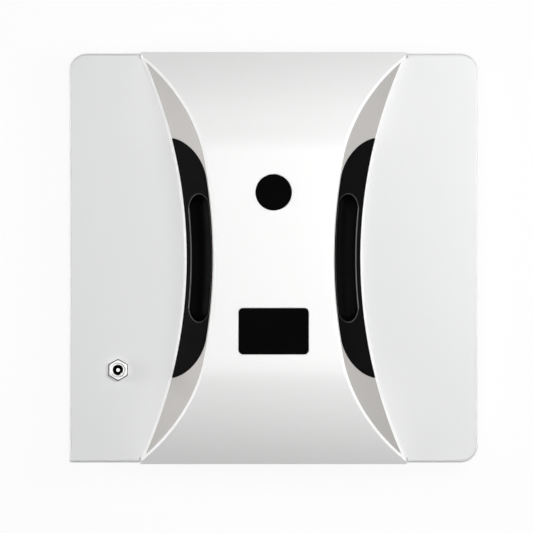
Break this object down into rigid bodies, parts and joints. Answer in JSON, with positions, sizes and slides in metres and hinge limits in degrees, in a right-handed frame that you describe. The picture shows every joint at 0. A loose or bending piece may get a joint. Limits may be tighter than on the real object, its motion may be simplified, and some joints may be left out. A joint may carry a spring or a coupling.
{
  "type": "window cleaning robot",
  "caption": "Square window cleaning robot: a waisted bridge with side grips over two low wings, belt tracks, a suction fan and a microfibre pad underneath.",
  "frame": {"origin": "on the glass, under the middle of the body", "axes": "+X to the right and +Y to the top edge of the robot as the picture shows it, +Z away from the glass"},
  "size_m": [0.232, 0.2338, 0.0564],
  "materials": {
    "shell_white": "satin white moulding",
    "base_white": "fine matt texture",
    "trim_silver": "silver-grey satin paint",
    "grip_black": "fine matt grain",
    "gloss_black": "polished black",
    "inner_grey": "as moulded",
    "steel": "turned and ground",
    "nickel": "nickel plated",
    "brass": "cut brass",
    "gear_ivory": "natural plastic",
    "belt_rubber": "moulded rubber",
    "pad_fabric": "microfibre pile",
    "hook_grey": "hook tape",
    "board_green": "solder mask",
    "battery_wrap": "shrink wrap"
  },
  "bodies": {
    "housing": {"top_shell": "shell_white", "base_plate": "base_white", "bridge_cover": "shell_white", "left_side_trim": "trim_silver", "right_side_trim": "trim_silver", "left_grip_insert": "grip_black", "right_grip_insert": "grip_black", "display_window": "gloss_black", "tact_switch": "inner_grey", "jack_barrel": "nickel", "jack_nut": "nickel", "jack_pin": "nickel", "jack_insulator": "grip_black", "main_board": "board_green", "board_parts": "inner_grey", "battery_pack": "battery_wrap", "battery_strap": "inner_grey", "fan_scroll": "inner_grey", "fan_cover": "inner_grey", "fan_motor": "steel", "inlet_grille": "grip_black", "cleaning_pad": "pad_fabric", "hook_strips": "hook_grey", "edge_switches": "inner_grey", "left_track_frame": "inner_grey", "right_track_frame": "inner_grey", "left_track_belt": "belt_rubber", "right_track_belt": "belt_rubber", "left_gear_cover": "inner_grey", "right_gear_cover": "inner_grey", "left_gear_motor": "steel", "right_gear_motor": "steel", "left_idler_axle": "steel", "right_idler_axle": "steel", "shell_screws": "steel", "bridge_screws": "steel", "board_screws": "steel"},
    "power_button": {"power_button": "gloss_black", "switch_plunger": "inner_grey"},
    "fan_rotor": {"fan_impeller": "inner_grey", "fan_shaft": "steel"},
    "left_drive": {"left_drive_sprocket": "grip_black", "left_drive_axle": "steel", "left_final_gear": "brass"},
    "left_idler": {"left_idler_wheel": "grip_black"},
    "left_transfer": {"left_transfer_gear": "gear_ivory"},
    "left_pinion": {"left_motor_pinion": "brass", "left_motor_shaft": "steel"},
    "right_drive": {"right_drive_sprocket": "grip_black", "right_drive_axle": "steel", "right_final_gear": "brass"},
    "right_idler": {"right_idler_wheel": "grip_black"},
    "right_transfer": {"right_transfer_gear": "gear_ivory"},
    "right_pinion": {"right_motor_pinion": "brass", "right_motor_shaft": "steel"},
    "top_left_feeler": {"top_left_feeler": "grip_black"},
    "top_right_feeler": {"top_right_feeler": "grip_black"},
    "bottom_left_feeler": {"bottom_left_feeler": "grip_black"},
    "bottom_right_feeler": {"bottom_right_feeler": "grip_black"}
  },
  "joints": [
    {"name": "button_press", "type": "slide", "parent": "housing", "child": "power_button", "axis": [0, 0, -1], "range_m": [0, 0.0006], "stiffness_N_per_m": 300, "springref_m": -0.0005},
    {"name": "fan_spin", "type": "hinge", "parent": "housing", "child": "fan_rotor", "pos_m": [0, 0, 0.02], "axis": [0, 0, 1], "continuous": true},
    {"name": "left_drive_spin", "type": "hinge", "parent": "housing", "child": "left_drive", "pos_m": [-0.06, 0.046, 0.01199], "axis": [1, 0, 0], "continuous": true, "deforming": ["left_track_belt"]},
    {"name": "left_idler_spin", "type": "hinge", "parent": "housing", "child": "left_idler", "pos_m": [-0.06, -0.046, 0.01199], "axis": [1, 0, 0], "continuous": true},
    {"name": "left_transfer_spin", "type": "hinge", "parent": "housing", "child": "left_transfer", "pos_m": [-0.0437, 0.06087, 0.01515], "axis": [1, 0, 0], "continuous": true},
    {"name": "left_pinion_spin", "type": "hinge", "parent": "housing", "child": "left_pinion", "pos_m": [-0.0437, 0.07195, 0.02155], "axis": [1, 0, 0], "continuous": true},
    {"name": "right_drive_spin", "type": "hinge", "parent": "housing", "child": "right_drive", "pos_m": [0.06, 0.046, 0.01199], "axis": [1, 0, 0], "continuous": true, "deforming": ["right_track_belt"]},
    {"name": "right_idler_spin", "type": "hinge", "parent": "housing", "child": "right_idler", "pos_m": [0.06, -0.046, 0.01199], "axis": [1, 0, 0], "continuous": true},
    {"name": "right_transfer_spin", "type": "hinge", "parent": "housing", "child": "right_transfer", "pos_m": [0.0437, 0.06087, 0.01515], "axis": [1, 0, 0], "continuous": true},
    {"name": "right_pinion_spin", "type": "hinge", "parent": "housing", "child": "right_pinion", "pos_m": [0.0437, 0.07195, 0.02155], "axis": [1, 0, 0], "continuous": true},
    {"name": "top_left_feeler_drop", "type": "slide", "parent": "housing", "child": "top_left_feeler", "axis": [0, 0, 1], "range_m": [-0.0022, 0], "stiffness_N_per_m": 80, "springref_m": -0.004},
    {"name": "top_right_feeler_drop", "type": "slide", "parent": "housing", "child": "top_right_feeler", "axis": [0, 0, 1], "range_m": [-0.0022, 0], "stiffness_N_per_m": 80, "springref_m": -0.004},
    {"name": "bottom_left_feeler_drop", "type": "slide", "parent": "housing", "child": "bottom_left_feeler", "axis": [0, 0, 1], "range_m": [-0.0022, 0], "stiffness_N_per_m": 80, "springref_m": -0.004},
    {"name": "bottom_right_feeler_drop", "type": "slide", "parent": "housing", "child": "bottom_right_feeler", "axis": [0, 0, 1], "range_m": [-0.0022, 0], "stiffness_N_per_m": 80, "springref_m": -0.004}
  ],
  "couplings": [
    {"joint": "left_idler_spin", "follows": "left_drive_spin", "ratio": 1},
    {"joint": "left_transfer_spin", "follows": "left_drive_spin", "ratio": -1.1111},
    {"joint": "left_pinion_spin", "follows": "left_drive_spin", "ratio": 1.4286},
    {"joint": "right_idler_spin", "follows": "right_drive_spin", "ratio": 1},
    {"joint": "right_transfer_spin", "follows": "right_drive_spin", "ratio": -1.1111},
    {"joint": "right_pinion_spin", "follows": "right_drive_spin", "ratio": 1.4286}
  ]
}
